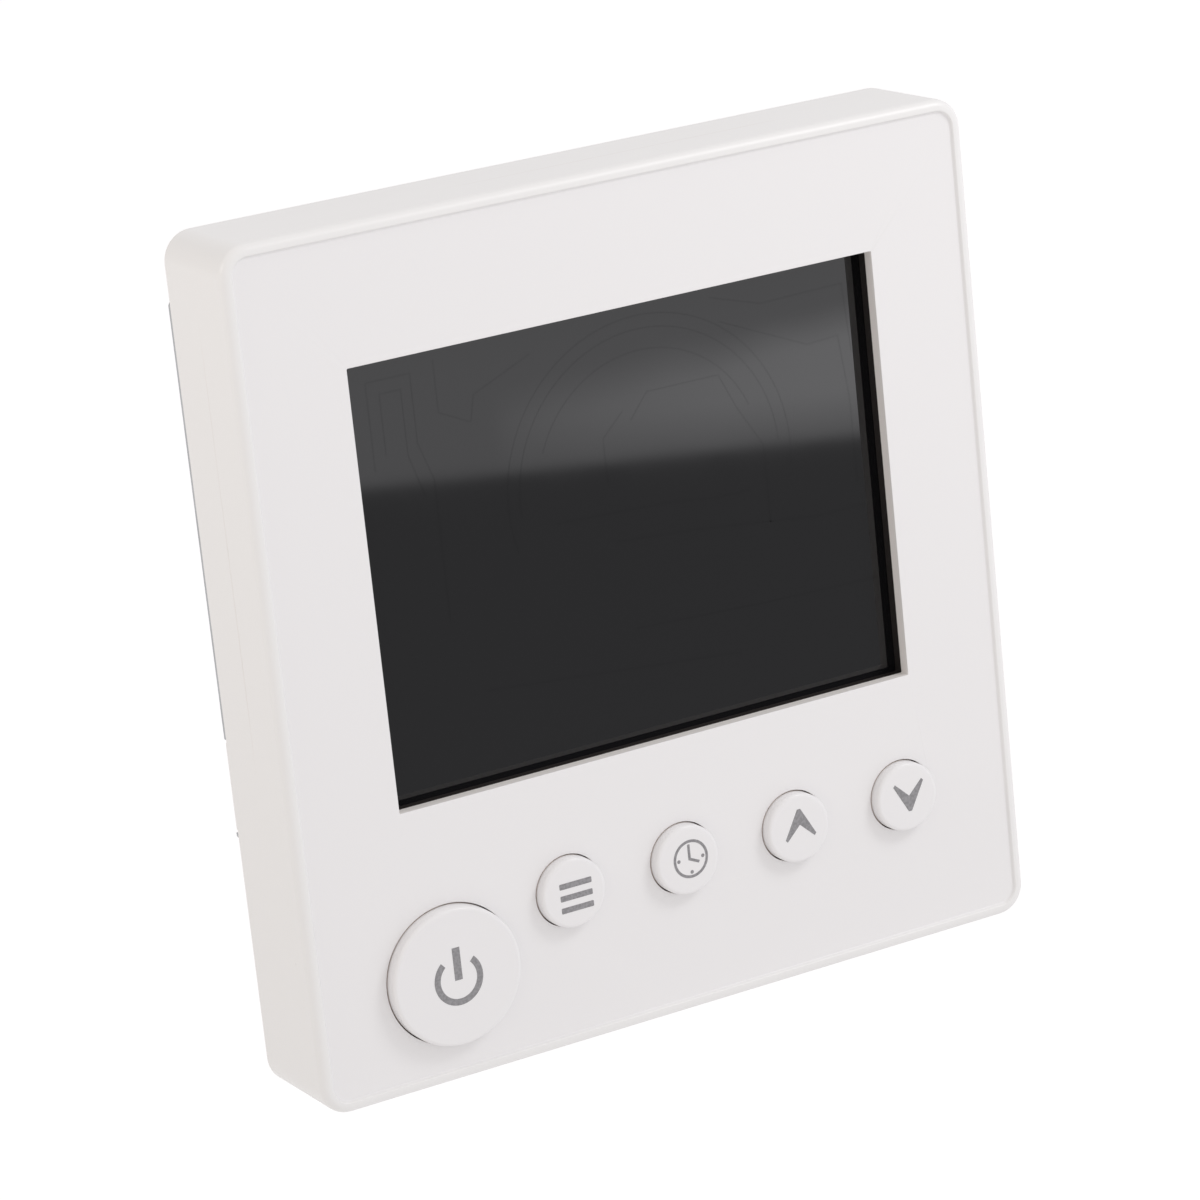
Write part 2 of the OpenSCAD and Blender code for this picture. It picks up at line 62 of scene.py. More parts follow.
FACE_W = HOUSING_HIGH.x - HOUSING_LOW.x
FACE_H = HOUSING_HIGH.z - HOUSING_LOW.z
RIM_Y = HOUSING_LOW.y
PANEL_Y = PANEL_LOW.y
SHELF_Y = PANEL_HIGH.y
SEAT = 0.1 * MM  # air between the housing and the plate
BACK_Y = PLATE_LOW.y - SEAT
WINDOW_Z = (GASKET_LOW.z + GASKET_HIGH.z) / 2

# ---------------------------------------------------------------- sizes of the pieces
# the housing's shell, and the shelf inside it that carries the panel
CORNER_R = 3.1 * MM
EDGE_R = 0.9 * MM
REAR_R = 0.15 * MM
RIM_W = 1.25 * MM
STEP_W = 0.36 * MM
WALL = 1.6 * MM
SHELF_T = 1.2 * MM
SHELF_R = 0.05 * MM
SHELF_INSET = 1 * MM
SEAM_Y = RIM_Y + 6.5 * MM

# the screw bosses, clips and side tabs on the housing's back, and its vents
BOSS_X = 38.4 * MM
BOSS_Z = 40.4 * MM
BOSS_R = 2.4 * MM
BOSS_EDGE = 0.15 * MM
PILOT_R = 0.9 * MM
CLIP_X = 22 * MM
CLIP_Z = 42 * MM
CLIP_W = 6 * MM
CLIP_T = 1 * MM
CLIP_Y = -6 * MM
CLIP_END_Y = HOUSING_HIGH.y
CLIP_ROOT_END_Y = -2.4 * MM
TAB_LOW = -17.3 * MM
TAB_HIGH = -7.9 * MM
TAB_W = 1.5 * MM
TAB_INSET = 0.35 * MM
TAB_FRONT_Y = -2.4 * MM
VENT_COUNT = 7
VENT_PITCH = 4 * MM
VENT_WIDTH = 1.8 * MM
VENT_LENGTH = 6 * MM
VENT_Y = -7.4 * MM

# the panel, its window and what lies behind it
PANEL_GAP = 0.003 * MM
PANEL_FRONT_R = 0.07 * MM
PANEL_BACK_R = 0.04 * MM
WINDOW_W = 61.4 * MM
WINDOW_H = 46.1 * MM
WINDOW_R = 0.15 * MM
GASKET_R = 0.8 * MM
GASKET_SET_BACK = 0.2 * MM
GASKET_ROOM = 0.6 * MM
FILM_R = 0.4 * MM
FILM_EDGE = 0.04 * MM

# the key caps; the gap round them is narrow in the panel and wide in the shelf
HOLE_GAP = 0.12 * MM
SHELF_GAP = 0.3 * MM
CAP_ROUND = 0.4 * MM
CAP_WALL = 1.1 * MM
CAP_FRONT = 1.3 * MM
FLANGE_OUT = 1.1 * MM
FLANGE_T = 0.8 * MM
FLANGE_PLAY = 0.05 * MM
STEM_R = 1.6 * MM
PRINT_T = 0.02 * MM

# the lines of the unlit display: (radius, first angle, last angle) of the dial's arcs, and
# the (x, z) points of the leads, all in millimetres and degrees
TRACE_W = 0.13 * MM
DIAL_CENTRE = (3.6 * MM, 12 * MM)
DIAL_ARCS = ((16.8, -8, 196), (15.4, 2, 184), (13.2, 22, 158))
DISPLAY_LEADS = (
    ((-27.6, 19), (-27.6, 28.2), (-22.6, 28.2), (-22.6, 21), (-21.2, 17), (-21.2, 2)),
    ((-26.2, 20.5), (-26.2, 26.8), (-23.8, 26.8), (-23.8, 20), (-22.4, 15.5)),
    ((-19.9, 29), (-19.9, 23.6), (-16.4, 21.9), (-15.8, 24.6), (-9, 27.4)),
    ((12.4, 29), (18.4, 27.2), (28.4, 27.4), (28.9, 20)),
    ((13.3, 26.3), (23.6, 21.8), (27.4, 22), (28.2, 15), (28.2, 6)),
    ((1.8, 18.2), (4, 20.8), (12.6, 20.8), (14.4, 17), (17.2, 12.4), (17.2, 4)),
    ((-1.6, 12), (-1.6, 17), (1, 19.4)),
    ((-8, 9.4), (5, 8.8), (11, 8), (15, 8)),
    ((-1.4, 6), (8.2, 5.2), (22.8, 3.4), (29.6, 3.4)),
    ((0, -3.6), (15.6, -4.4), (29.6, -4.8)),
    ((-18, -6), (-4, -7.4), (12, -9)))

# the small parts on the main board's back, and the copper lines between them
LUG_X = 37 * MM
LUG_ROWS = (-12 * MM, 28 * MM)
BOSS_ROOM = 2.6 * MM
CLIP_ROOM = (4.2 * MM, 2.6 * MM)
LUG_ROOM = 1.6 * MM
GRID_X = 5.1 * MM
GRID_Z = 4.7 * MM
JITTER_X = 0.6
JITTER_Z = 0.5
FILLED_SHARE = 0.55
CHIP_LENGTH = 0.75 * MM
CHIP_WIDTH = 0.42 * MM
CHIP_HEIGHTS = (0.45, 0.6, 0.8)
CHIP_LIFT = 0.02 * MM
CHIP_EDGE = 0.05 * MM
CHIP_CLEAR = 1.7 * MM
BIG_SHARE = 0.2
LEG_T = 0.31 * MM  # how far the chips' legs stand off the board
BEAD_DEPTH = 2.65 * MM
LINE_W = 0.28 * MM
LINE_CLEAR = 0.3 * MM
LINE_SHORTEST = 2 * MM

# degrees between faces from which an edge stays sharp on a piece, or is rounded on a CAD node
SHARP_ANGLE = 32
BEVEL_ANGLE = 35

# ---------------------------------------------------------------- colours
HOUSING_COLOUR = (0.80, 0.793, 0.787)
PANEL_COLOUR = (0.80, 0.79, 0.793)
KEY_COLOUR = (0.80, 0.79, 0.795)
# painted glow: warm light through the caps' thin plastic, on their walls below the panel's face
CAP_WALL_GLOW_COLOUR = (0.86, 0.77, 0.71)
# painted light: lighter than the panel, for the walls of its window and key holes, which lie in
# shade
PANEL_WALL_GLOW_COLOUR = (0.93, 0.895, 0.87)


# ---------------------------------------------------------------- node materials
class Shader:
    """A Principled material with short ways to add nodes."""

    def __init__(self, name, colour, roughness, metallic=0.0):
        self.material = bpy.data.materials.new(name)
        self.material.use_nodes = True
        self.tree = self.material.node_tree
        self.bsdf = self.tree.nodes["Principled BSDF"]
        self.set("Base Color", (*colour, 1))
        self.set("Roughness", roughness)
        self.set("Metallic", metallic)
        self.coords = self.add("ShaderNodeTexCoord").outputs["Object"]

    def add(self, kind, **values):
        made = self.tree.nodes.new(kind)
        for key, value in values.items():
            setattr(made, key, value)
        return made

    def link(self, source, target):
        self.tree.links.new(source, target)

    def set(self, socket, value):
        self.bsdf.inputs[socket].default_value = value

    def math(self, operation, first, second=0.0, clamp=False):
        """One step of arithmetic on numbers or sockets."""
        made = self.add("ShaderNodeMath", operation=operation, use_clamp=clamp)
        for socket, value in zip(made.inputs, (first, second)):
            if isinstance(value, (int, float)):
                socket.default_value = value
            else:
                self.link(value, socket)
        return made.outputs[0]

    def noise(self, scale, detail=2.0, stretch=None):
        """Noise in object space; scale is in cells to a metre, and stretch scales each axis."""
        source = self.coords
        if stretch:
            mapping = self.add("ShaderNodeMapping")
            mapping.inputs["Scale"].default_value = stretch
            self.link(source, mapping.inputs["Vector"])
            source = mapping.outputs["Vector"]
        made = self.add("ShaderNodeTexNoise")
        made.inputs["Scale"].default_value = scale
        made.inputs["Detail"].default_value = detail
        self.link(source, made.inputs["Vector"])
        return made.outputs["Fac"]

    def cells(self, scale, feature="F1"):
        made = self.add("ShaderNodeTexVoronoi", feature=feature)
        made.inputs["Scale"].default_value = scale
        self.link(self.coords, made.inputs["Vector"])
        return made

    def axes(self):
        made = self.add("ShaderNodeSeparateXYZ")
        self.link(self.coords, made.inputs[0])
        return made.outputs

    def spread(self, source, low, high, to_low, to_high):
        """Maps low..high of source onto to_low..to_high, clamped."""
        made = self.add("ShaderNodeMapRange")
        for socket, value in zip(("From Min", "From Max", "To Min", "To Max"),
                                 (low, high, to_low, to_high)):
            made.inputs[socket].default_value = value
        self.link(source, made.inputs["Value"])
        return made.outputs["Result"]

    def tint(self, mask, colour):
        """Mixes colour over what the base already has, where mask is 1."""
        mix = self.add("ShaderNodeMix", data_type="RGBA")
        base = self.bsdf.inputs["Base Color"]
        if base.is_linked:
            self.link(base.links[0].from_socket, mix.inputs["A"])
        else:
            mix.inputs["A"].default_value = base.default_value
        mix.inputs["B"].default_value = (*colour, 1)
        self.link(mask, mix.inputs["Factor"])
        self.link(mix.outputs["Result"], base)

    def roughen(self, source, low, high):
        """Varies the roughness with source, from low to high."""
        self.link(self.spread(source, 0.3, 0.7, low, high), self.bsdf.inputs["Roughness"])

    def bump(self, height, distance, strength=1.0):
        """Adds a bump; distance is how high the height's 1 stands, in metres."""
        made = self.add("ShaderNodeBump")
        made.inputs["Distance"].default_value = distance
        made.inputs["Strength"].default_value = strength
        self.link(height, made.inputs["Height"])
        if self.bsdf.inputs["Normal"].is_linked:
            self.link(self.bsdf.inputs["Normal"].links[0].from_socket, made.inputs["Normal"])
        self.link(made.outputs["Normal"], self.bsdf.inputs["Normal"])


def darker(colour, factor):
    return tuple(c * factor for c in colour)


def moulded(name, colour, rough=0.32, grain=2600, depth=0.004 * MM, mottling=0.002,
            gloss=0.5):
    """Moulded plastic: fine grain, slow colour drift, uneven gloss and a few specks."""
    shader = Shader(name, colour, rough)
    shader.set("Specular IOR Level", gloss)
    slow = shader.noise(60, 3)
    shader.tint(shader.spread(slow, 0.35, 0.75, 0, mottling), darker(colour, 0.6))
    shader.roughen(shader.noise(220, 4), rough * 0.96, rough * 1.05)
    shader.bump(shader.noise(grain, 3), depth)
    specks = shader.cells(75).outputs["Distance"]
    shader.tint(shader.spread(specks, 0.006, 0.014, 0.3, 0), darker(colour, 0.4))
    return shader


def paint_glow_on_walls(shader, colour):
    """Painted glow: tints the walls below the panel's face lighter and warmer, standing in for the
    light that thin white plastic lets through.
    """
    depth = shader.spread(shader.axes()[1], PANEL_Y + 0.03 * MM, PANEL_Y + 0.15 * MM, 0, 1)
    shader.tint(depth, colour)
    return shader.material


def metal(name, colour, rough=0.35, brushed=(1, 1, 1), depth=0.002 * MM):
    """Metal with fine drawn lines, and gloss that varies along them."""
    shader = Shader(name, colour, rough, 1.0)
    lines = shader.noise(1800, 3, brushed)
    shader.roughen(lines, rough * 0.75, rough * 1.3)
    shader.bump(lines, depth)
    shader.tint(shader.spread(shader.noise(300, 3), 0.5, 0.75, 0, 0.35), darker(colour, 0.6))
    return shader


# ---------------------------------------------------------------- outlines and meshes
def arc(x, z, radius, start, stop, steps):
    """Points along an arc, from one angle to another, both in degrees."""
    angles = [math.radians(start + (stop - start) * i / steps) for i in range(steps + 1)]
    return [(x + radius * math.cos(a), z + radius * math.sin(a)) for a in angles]


def rect_outline(width, height, radius, x=0.0, z=0.0, steps=10):
    """A rounded rectangle that can grow: call it with how far to grow it."""
    def points(grow=0.0):
        r = max(radius + grow, 0.01 * MM)
        across = width / 2 + grow - r
        up = height / 2 + grow - r
        corners = ((1, 1, 0), (-1, 1, 90), (-1, -1, 180), (1, -1, 270))
        return [p for sx, sz, start in corners
                for p in arc(x + sx * across, z + sz * up, r, start, start + 90, steps)]
    return points


def round_outline(radius, x=0.0, z=0.0, steps=96):
    """A circle that can grow."""
    def points(grow=0.0):
        return arc(x, z, radius + grow, 0, 360, steps)[:-1]
    return points


def slot_outline(length, width, x=0.0, z=0.0, steps=8):
    """A slot with round ends, lying along X, that can grow."""
    def points(grow=0.0):
        reach = (length - width) / 2
        return (arc(x + reach, z, width / 2 + grow, -90, 90, steps)
                + arc(x - reach, z, width / 2 + grow, 90, 270, steps))
    return points


def add_ring(bm, points, y):
    return [bm.verts.new((x, y, z)) for x, z in points]


def bridge(bm, first, second):
    for i in range(len(first)):
        j = (i + 1) % len(first)
        bm.faces.new((first[i], first[j], second[j], second[i]))


def rounding(radius, steps):
    """(inwards, down) steps of a rounded edge, from the face to the side."""
    turns = [math.pi / 2 * i / steps for i in range(steps + 1)]
    return [(radius * (1 - math.sin(a)), radius * (1 - math.cos(a))) for a in turns]


def side_profile(front_y, back_y, front_r, back_r, steps=4):
    """(grow, y) down the side of a plate with rounded edges."""
    front = [(-i, front_y + d) for i, d in rounding(front_r, steps)]
    back = [(-i, back_y - d) for i, d in rounding(back_r, steps)]
    return front + back[::-1]


def fill(bm, loops):
    """Closes a face between an outer loop and any holes in it."""
    edges = [bm.edges.get((loop[i - 1], loop[i])) for loop in loops for i in range(len(loop))]
    bmesh.ops.triangle_fill(bm, use_beauty=True, edges=edges)


def add_plate(bm, outer, holes, front_y, back_y, front_r=0.1 * MM, back_r=0.1 * MM, steps=4,
              outer_side=None):
    """A plate with holes; front_r and back_r round its edges, and those of its holes.

    outer_side is a different (grow, y) section for its outer edge.
    """
    side = side_profile(front_y, back_y, front_r, back_r, steps)
    fronts, backs = [], []
    for outline, sign in [(outer, 1)] + [(hole, -1) for hole in holes]:
        section = outer_side if outer_side and sign > 0 else side
        rings = [add_ring(bm, outline(sign * grow), y) for grow, y in section]
        for first, second in zip(rings, rings[1:]):
            bridge(bm, first, second)
        fronts.append(rings[0])
        backs.append(rings[-1])
    fill(bm, fronts)
    fill(bm, backs)


def add_lathe(bm, profile, x, z, steps=96):
    """Turns (radius, y) pairs round a line along Y; a radius of 0 is a point on it."""
    rings = []
    for radius, y in profile:
        if radius == 0:
            rings.append([bm.verts.new((x, y, z))])
        else:
            rings.append(add_ring(bm, round_outline(radius, x, z, steps)(), y))
    for first, second in zip(rings, rings[1:]):
        if len(first) > 1 and len(second) > 1:
            bridge(bm, first, second)
            continue
        tip, ring = (first[0], second) if len(first) == 1 else (second[0], first)
        for i in range(steps):
            bm.faces.new((tip, ring[i - 1], ring[i]))


def add_block(bm, low, high, radius=0.15 * MM, steps=3):
    """A block with rounded edges."""
    low, high = Vector(low), Vector(high)
    place = Matrix.Translation((low + high) / 2) @ Matrix.Diagonal((*(high - low), 1))
    made = bmesh.ops.create_cube(bm, size=1, matrix=place)["verts"]
    edges = list({edge for vert in made for edge in vert.link_edges})
    bmesh.ops.bevel(bm, geom=edges, offset=radius, segments=steps, profile=0.5, affect="EDGES")


def add_prism(bm, points, front_y, back_y):
    """A flat shape with straight sides."""
    front, back = add_ring(bm, points, front_y), add_ring(bm, points, back_y)
    bridge(bm, front, back)
    bm.faces.new(front)
    bm.faces.new(back)


def add_arc_band(bm, x, z, inner, outer, start, stop, front_y, back_y, steps=48):
    """A flat curved band, between two radii and two angles."""
    whole = stop - start >= 360
    sections = []
    for (xo, zo), (xi, zi) in zip(arc(x, z, outer, start, stop, steps),
                                  arc(x, z, inner, start, stop, steps)):
        corners = ((xo, front_y, zo), (xo, back_y, zo), (xi, back_y, zi), (xi, front_y, zi))
        sections.append([bm.verts.new(corner) for corner in corners])
    if whole:
        for vert in sections.pop():
            bm.verts.remove(vert)
        bridge(bm, sections[-1], sections[0])
    else:
        bm.faces.new(sections[0])
        bm.faces.new(sections[-1])
    for first, second in zip(sections, sections[1:]):
        bridge(bm, first, second)


def mesh_object(name, bm):
    """Turns a bmesh into an object with outward faces."""
    bmesh.ops.recalc_face_normals(bm, faces=bm.faces)
    mesh = bpy.data.meshes.new(name)
    bm.to_mesh(mesh)
    bm.free()
    made = bpy.data.objects.new(name, mesh)
    bpy.context.scene.collection.objects.link(made)
    return made


def shade(obj):
    """Smooth faces with sharp edges between them, and flat faces that stay flat."""
    for polygon in obj.data.polygons:
        polygon.use_smooth = True
    obj.data.set_sharp_from_angle(angle=math.radians(SHARP_ANGLE))
    normals = obj.modifiers.new("even_normals", "WEIGHTED_NORMAL")
    normals.keep_sharp = True


def piece(name, bm, material, body, stands_for=()):
    """Finishes a new piece: its mesh, material and body, and hides the nodes it stands for."""
    made = mesh_object(name, bm)
    shade(made)
    made.data.materials.append(material)
    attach(made, body)
    if stands_for:
        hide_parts(*stands_for)


def cut_out(obj, cutters):
    """Takes the cutters' shape out of obj's mesh for good."""
    tool = obj.modifiers.new("cut", "BOOLEAN")
    tool.operation = "DIFFERENCE"
    tool.solver = "EXACT"
    tool.object = cutters
    graph = bpy.context.evaluated_depsgraph_get()
    result = bpy.data.meshes.new_from_object(obj.evaluated_get(graph))
    obj.modifiers.remove(tool)
    obj.data = result
    bpy.data.objects.remove(cutters)


# ---------------------------------------------------------------- front unit
def key_place(name):
    """Centre, cap radius and front face of a key, from its cap's box."""
    low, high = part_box(f"{name}_button")
    radius = (high.x - low.x) / 2 - FLANGE_OUT
    return (low.x + high.x) / 2, (low.z + high.z) / 2, radius, low.y


def key_outlines(gap):
    return [round_outline(radius + gap, x, z)
            for x, z, radius, _ in map(key_place, KEY_NAMES)]


def window_outline(extra=0.0):
    return rect_outline(WINDOW_W + extra, WINDOW_H + extra, WINDOW_R, 0, WINDOW_Z)


def soft_step(first, last, steps=6):
    """(grow, y) down the soft step from the rim's top, at 0, to the panel's face, at 1."""
    points = []
    for i in range(steps + 1):
        t = first + (last - first) * i / steps
        down = (PANEL_Y - RIM_Y) * (1 - math.cos(math.pi * t)) / 2
        points.append((STEP_W * (0.5 - t), RIM_Y + down))
    return points


def shell_profile():
    """(grow, y) round the wall's section, from the inner rear edge and back to it."""
    outside = [(-i, BACK_Y - d) for i, d in rounding(REAR_R, 3)]
    front = [(-i, RIM_Y + d) for i, d in rounding(EDGE_R, 10)][::-1]
    inside = [(-RIM_W + grow, y) for grow, y in soft_step(0, 0.5)]
    pocket = [(-RIM_W, SHELF_Y + SHELF_T / 3), (-WALL, SHELF_Y + 2 * SHELF_T / 3)]
    return [(-WALL, BACK_Y)] + outside + front + inside + pocket


def vent_cutters():
    """One object with every vent's shape."""
    sensor_low, sensor_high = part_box("air_sensor")
    centre = (sensor_low.x + sensor_high.x) / 2
    bm = bmesh.new()
    for i in range(VENT_COUNT):
        x = centre + (i - (VENT_COUNT - 1) / 2) * VENT_PITCH
        outline = [(x + b, VENT_Y + a)
                   for a, b in slot_outline(VENT_LENGTH, VENT_WIDTH)()]
        rings = [[bm.verts.new((px, py, z)) for px, py in outline]
                 for z in (HOUSING_LOW.z - MM, HOUSING_LOW.z + WALL + MM)]
        bridge(bm, *rings)
        bm.faces.new(rings[0])
        bm.faces.new(rings[1])
    return mesh_object("vent_cutters", bm)


def add_clips_and_tabs(bm):
    """Clips through the plate, tabs in its notches, and the four screw bosses."""
    for sz in (-1, 1):
        for sx in (-1, 1):
            x, z = sx * CLIP_X, sz * CLIP_Z
            add_block(bm, (x - CLIP_W / 2, CLIP_Y, z - CLIP_T / 2),
                      (x + CLIP_W / 2, CLIP_END_Y, z + CLIP_T / 2), 0.2 * MM)
            root = sz * (FACE_H / 2 - WALL + 0.2 * MM)
            add_block(bm, (x - CLIP_W / 2, CLIP_Y - MM, min(z, root)),
                      (x + CLIP_W / 2, CLIP_ROOT_END_Y, max(z, root)), 0.1 * MM)
            add_lathe(bm, [(PILOT_R, BOARD_LOW.y), (BOSS_R - BOSS_EDGE, BOARD_LOW.y),
                           (BOSS_R, BOARD_LOW.y - BOSS_EDGE), (BOSS_R, SHELF_Y + SHELF_T / 2),
                           (0, SHELF_Y + SHELF_T / 2)], sx * BOSS_X, sz * BOSS_Z, 48)
    for sx in (-1, 1):
        edge = sx * (FACE_W / 2 - TAB_INSET)
        inner = edge - sx * TAB_W
        add_block(bm, (min(edge, inner), TAB_FRONT_Y, TAB_LOW),
                  (max(edge, inner), -SEAT, TAB_HIGH))


def housing(material):
    bm = bmesh.new()
    outline = rect_outline(FACE_W, FACE_H, CORNER_R)
    rings = [add_ring(bm, outline(grow), y) for grow, y in shell_profile()]
    for i, ring in enumerate(rings):
        bridge(bm, rings[i - 1], ring)
    shell = mesh_object("housing_shell", bm)
    cut_out(shell, vent_cutters())

    bm = bmesh.new()
    bm.from_mesh(shell.data)
    bpy.data.objects.remove(shell)
    shelf = rect_outline(FACE_W - 2 * SHELF_INSET, FACE_H - 2 * SHELF_INSET,
                         CORNER_R - SHELF_INSET)
    seat = rect_outline(GASKET_HIGH.x - GASKET_LOW.x + GASKET_ROOM,
                        GASKET_HIGH.z - GASKET_LOW.z + GASKET_ROOM, MM, 0, WINDOW_Z)
    add_plate(bm, shelf, [seat] + key_outlines(SHELF_GAP),
              SHELF_Y, SHELF_Y + SHELF_T, SHELF_R, SHELF_R, 2)
    add_clips_and_tabs(bm)
    piece("housing", bm, material, FRONT, ["front_housing"])


def face_panel(material):
    """The front panel, whose edge is the lower half of the soft step up to the rim."""
    bm = bmesh.new()
    inset = RIM_W + PANEL_GAP
    outer = rect_outline(FACE_W - 2 * inset, FACE_H - 2 * inset, CORNER_R - inset)
    edge = soft_step(1, 0.5) + [(0, SHELF_Y)]
    add_plate(bm, outer, [window_outline()] + key_outlines(HOLE_GAP),
              PANEL_Y, SHELF_Y, PANEL_FRONT_R, PANEL_BACK_R, 3, edge)
    piece("panel", bm, material, FRONT, ["face_panel"])


def gasket(material):
    bm = bmesh.new()
    outer = rect_outline(GASKET_HIGH.x - GASKET_LOW.x, GASKET_HIGH.z - GASKET_LOW.z,
                         GASKET_R, 0, WINDOW_Z)
    add_plate(bm, outer, [window_outline(GASKET_SET_BACK)], GASKET_LOW.y, GASKET_HIGH.y)
    piece("gasket", bm, material, FRONT, ["window_gasket"])


def display_film(material):
    bm = bmesh.new()
    outer = rect_outline(FILM_HIGH.x - FILM_LOW.x, FILM_HIGH.z - FILM_LOW.z,
                         FILM_R, 0, WINDOW_Z)
    add_plate(bm, outer, [], FILM_LOW.y, FILM_HIGH.y, FILM_EDGE, FILM_EDGE, 2)
    piece("display_film", bm, material, FRONT, ["front_polariser"])


def stroke(points, width):
    """The outline of a line of some width through points, with mitred corners."""
    spots = [Vector(point) for point in points]
    left, right = [], []
    for i, spot in enumerate(spots):
        before = (spot - spots[i - 1]).normalized() if i else (spots[1] - spot).normalized()
        after = (spots[i + 1] - spot).normalized() if i + 1 < len(spots) else before
        along = (before + after).normalized()
        across = Vector((-along.y, along.x)) * width / 2 / max(along.dot(after), 0.5)
        left.append(tuple(spot + across))
        right.append(tuple(spot - across))
    return left + right[::-1]


def display_traces(material):
    """The electrodes of the unlit display, just visible: a dial and the leads to it."""
    bm = bmesh.new()
    front, back = FILM_LOW.y - 0.004 * MM, FILM_LOW.y + 0.01 * MM
    for radius, start, stop in DIAL_ARCS:
        radius *= MM
        add_arc_band(bm, *DIAL_CENTRE, radius, radius + TRACE_W, start, stop, front, back, 72)
    for lead in DISPLAY_LEADS:
        points = [(a * MM, b * MM) for a, b in lead]
        add_prism(bm, stroke(points, TRACE_W), front, back)
    piece("display_traces", bm, material, FRONT)


def cap_profile(radius, front_y, stem_end):
    """(radius, y) round a key cap's section, from the middle of its face to its stem."""
    flange_y = SHELF_Y + SHELF_T + FLANGE_PLAY
    flange_back = flange_y + FLANGE_T
    flange_r = radius + FLANGE_OUT
    inner = radius - CAP_WALL
    under = front_y + CAP_FRONT
    face = [(0, front_y), (radius * 0.6, front_y)]
    edge = [(radius - i, front_y + d) for i, d in rounding(CAP_ROUND, 10)]
    flange = [(radius, flange_y), (flange_r - 0.1 * MM, flange_y),
              (flange_r, flange_y + 0.1 * MM), (flange_r, flange_back)]
    inside = [(inner, flange_back), (inner, under + 0.2 * MM), (inner - 0.2 * MM, under),
              (STEM_R + 0.2 * MM, under), (STEM_R, under + 0.2 * MM)]
    stem = [(STEM_R, stem_end - 0.1 * MM), (STEM_R - 0.1 * MM, stem_end), (0, stem_end)]
    return face + edge + flange + inside + stem


def key_cap(name, material):
    x, z, radius, front = key_place(name)
    stem_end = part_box(f"{name}_button")[1].y
    bm = bmesh.new()
    add_lathe(bm, cap_profile(radius, front + PRINT_T, stem_end), x, z)
    piece(f"{name}_cap", bm, material, f"{name}_key", [f"{name}_button"])


# ---------------------------------------------------------------- printed symbols
def power_symbol(bm, x, z, front_y, back_y):
    """A broken ring with a bar through its gap."""
    z -= 0.2 * MM
    add_arc_band(bm, x, z, 2.1 * MM, 2.8 * MM, 131, 406, front_y, back_y)
    half, top, foot = 0.44 * MM, 3.4 * MM, -0.1 * MM
    add_prism(bm, [(x - half, z + foot), (x + half, z + foot), (x + half, z + top),
                   (x - half, z + top)], front_y, back_y)


def menu_symbol(bm, x, z, front_y, back_y):
    """Three bars."""
    x, z = x + 0.2 * MM, z - 0.3 * MM
    half, thick, pitch = 1.9 * MM, 0.31 * MM, 1.3 * MM
    for row in (-1, 0, 1):
        bar = rect_outline(2 * half, 2 * thick, 0.1 * MM, x, z + row * pitch, 3)
        add_prism(bm, bar(), front_y, back_y)


def clock_symbol(bm, x, z, front_y, back_y):
    """A clock face with two hands and three marks."""
    x, z = x + 0.3 * MM, z + 0.1 * MM
    radius, thick, mark = 2.08 * MM, 0.3 * MM, 0.2 * MM
    add_arc_band(bm, x, z, radius - thick, radius, 0, 360, front_y, back_y, 64)
    for angle in (180, 270, 360):
        spot = arc(x, z, radius * 0.7, angle, angle, 1)[0]
        add_prism(bm, round_outline(mark, *spot, 20)(), front_y, back_y)
    hub = Vector((x - 0.15 * MM, z))
    slope = math.radians(-25)
    hour = hub + Vector((math.cos(slope), math.sin(slope))) * 1.25 * MM
    minute = hub + Vector((0, 1.6 * MM))
    add_prism(bm, stroke([minute, hub, hour], thick), front_y, back_y)


def caret(x, z, way):
    """An arrow head with tapered arms; way is 1 for up and -1 for down."""
    half = [(0, 0.38), (1.68, -1.2), (1.9, -0.95), (0.2, 2.1)]
    right = [(x + a * MM, z + way * b * MM) for a, b in half]
    left = [(x - a * MM, z + way * b * MM) for a, b in half[:0:-1]]
    return right + left


def up_symbol(bm, x, z, front_y, back_y):
    add_prism(bm, caret(x + 0.1 * MM, z, 1), front_y, back_y)


def down_symbol(bm, x, z, front_y, back_y):
    add_prism(bm, caret(x + 0.2 * MM, z + 0.5 * MM, -1), front_y, back_y)


SYMBOLS = {"power": power_symbol, "menu": menu_symbol, "clock": clock_symbol,
           "up": up_symbol, "down": down_symbol}


def printed_symbol(name, material):
    x, z, _, front = key_place(name)
    bm = bmesh.new()
    SYMBOLS[name](bm, x, z, front + PRINT_T / 4, front + 2 * PRINT_T)
    piece(f"{name}_symbol", bm, material, f"{name}_key")


# ---------------------------------------------------------------- back of the main board
def board_keep_outs():
    """(x, z, half width, half height) of what the small parts and lines stay clear of."""
    taken = []
    for name in ("control_chip", "driver_chip", "board_socket"):
        low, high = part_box(name)
        taken.append(((low.x + high.x) / 2, (low.z + high.z) / 2,
                      (high.x - low.x) / 2, (high.z - low.z) / 2))
    for sx in (-1, 1):
        for sz in (-1, 1):
            taken.append((sx * BOSS_X, sz * BOSS_Z, BOSS_ROOM, BOSS_ROOM))
            taken.append((sx * CLIP_X, sz * (CLIP_Z + MM), *CLIP_ROOM))
        for z in LUG_ROWS:
            taken.append((sx * LUG_X, z, LUG_ROOM, LUG_ROOM))
    return taken


def is_clear(x, z, taken, margin):
    inside = abs(x) < BOARD_HIGH.x - margin and abs(z) < BOARD_HIGH.z - margin
    return inside and all(abs(x - cx) > w + margin or abs(z - cz) > h + margin
                          for cx, cz, w, h in taken)


